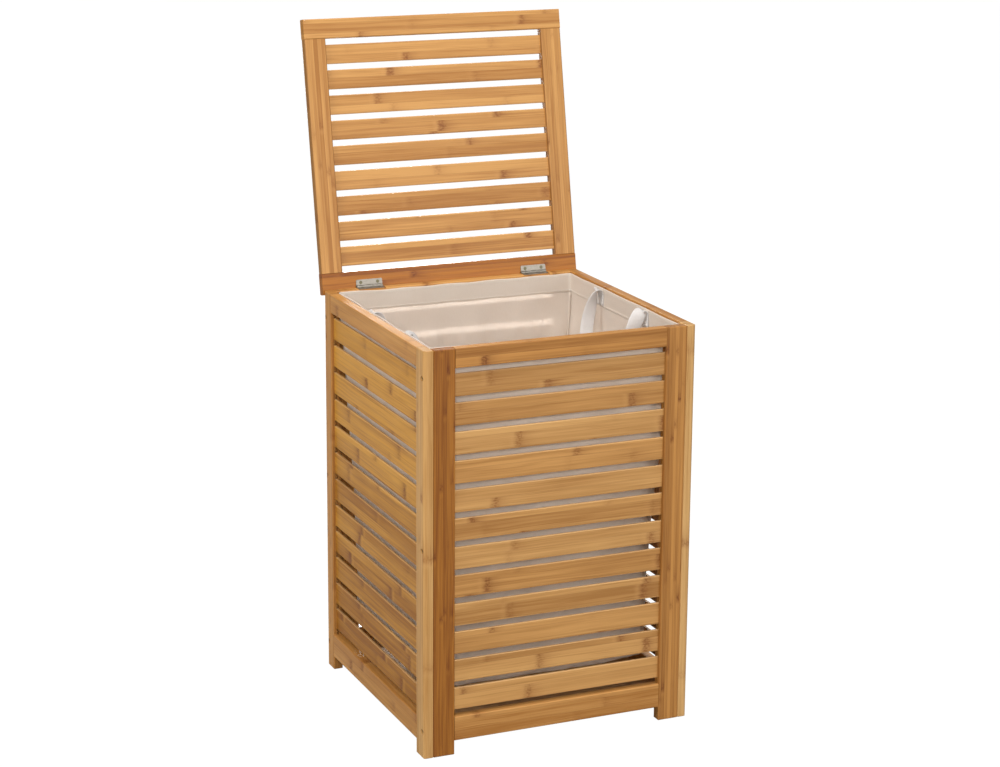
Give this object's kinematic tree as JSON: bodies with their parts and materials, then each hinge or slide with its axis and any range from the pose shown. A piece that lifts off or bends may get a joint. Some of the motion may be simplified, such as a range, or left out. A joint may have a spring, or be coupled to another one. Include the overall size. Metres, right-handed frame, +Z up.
{
  "type": "laundry hamper",
  "caption": "Upright slatted bamboo laundry hamper with a hinged slatted lid held open, a removable fabric liner with webbing handles, and a base board.",
  "frame": {"origin": "on the floor under the centre of the four-panel frame, without the open lid", "axes": "+X to the right seen from the front, -Y towards the front panel, +Z up; the lid is hinged at the rear rim"},
  "size_m": [0.402, 0.4735, 0.95],
  "materials": {
    "bamboo": "clear satin lacquer over laminated bamboo",
    "bamboo_deep": "clear satin lacquer over darker laminated bamboo",
    "base_board": "thin unfinished plywood",
    "liner_fabric": "thin undyed cotton and polyester plain weave",
    "hem_fabric": "doubled plain weave, stitched",
    "webbing": "white ribbed webbing",
    "hook_and_loop": "white hook-and-loop tape",
    "hinge_steel": "zinc-plated pressed steel",
    "screw_steel": "zinc-plated steel"
  },
  "bodies": {
    "hamper_body": {"left_panel_front_stile": "bamboo", "left_panel_rear_stile": "bamboo", "left_panel_top_rail": "bamboo", "left_panel_bottom_rail": "bamboo", "left_panel_slats": "bamboo", "right_panel_front_stile": "bamboo", "right_panel_rear_stile": "bamboo", "right_panel_top_rail": "bamboo", "right_panel_bottom_rail": "bamboo", "right_panel_slats": "bamboo", "front_panel_left_stile": "bamboo_deep", "front_panel_right_stile": "bamboo_deep", "front_panel_top_rail": "bamboo", "front_panel_bottom_rail": "bamboo", "front_slat_01": "bamboo", "front_slat_02": "bamboo", "front_slat_03": "bamboo", "front_slat_04": "bamboo", "front_slat_05": "bamboo", "front_slat_06": "bamboo", "front_slat_07": "bamboo", "front_slat_08": "bamboo", "front_slat_09": "bamboo", "front_slat_10": "bamboo", "front_slat_11": "bamboo", "front_slat_12": "bamboo", "rear_panel_left_stile": "bamboo", "rear_panel_right_stile": "bamboo", "rear_panel_top_rail": "bamboo", "rear_panel_bottom_rail": "bamboo", "rear_panel_slats": "bamboo", "base_board": "base_board", "panel_screws": "screw_steel", "liner_bag": "liner_fabric", "liner_hem": "hem_fabric", "liner_left_handle": "webbing", "liner_right_handle": "webbing", "hook_and_loop_strips": "hook_and_loop", "left_hinge_body_leaf": "hinge_steel", "right_hinge_body_leaf": "hinge_steel", "left_hinge_pin": "hinge_steel", "right_hinge_pin": "hinge_steel", "hinge_body_screws": "screw_steel"},
    "lid": {"left_hinge_lid_leaf": "hinge_steel", "right_hinge_lid_leaf": "hinge_steel", "hinge_lid_screws": "screw_steel", "lid_front_rail": "bamboo", "lid_hinge_rail": "bamboo_deep", "lid_left_stile": "bamboo", "lid_right_stile": "bamboo", "lid_slat_1": "bamboo", "lid_slat_2": "bamboo", "lid_slat_3": "bamboo", "lid_slat_4": "bamboo", "lid_slat_5": "bamboo", "lid_slat_6": "bamboo", "lid_slat_7": "bamboo", "lid_slat_8": "bamboo", "lid_slat_9": "bamboo"}
  },
  "joints": [
    {"name": "lid_hinge", "type": "hinge", "parent": "hamper_body", "child": "lid", "pos_m": [0, 0.193, 0.57065], "axis": [1, 0, 0], "range_deg": [0, 101.2]}
  ]
}
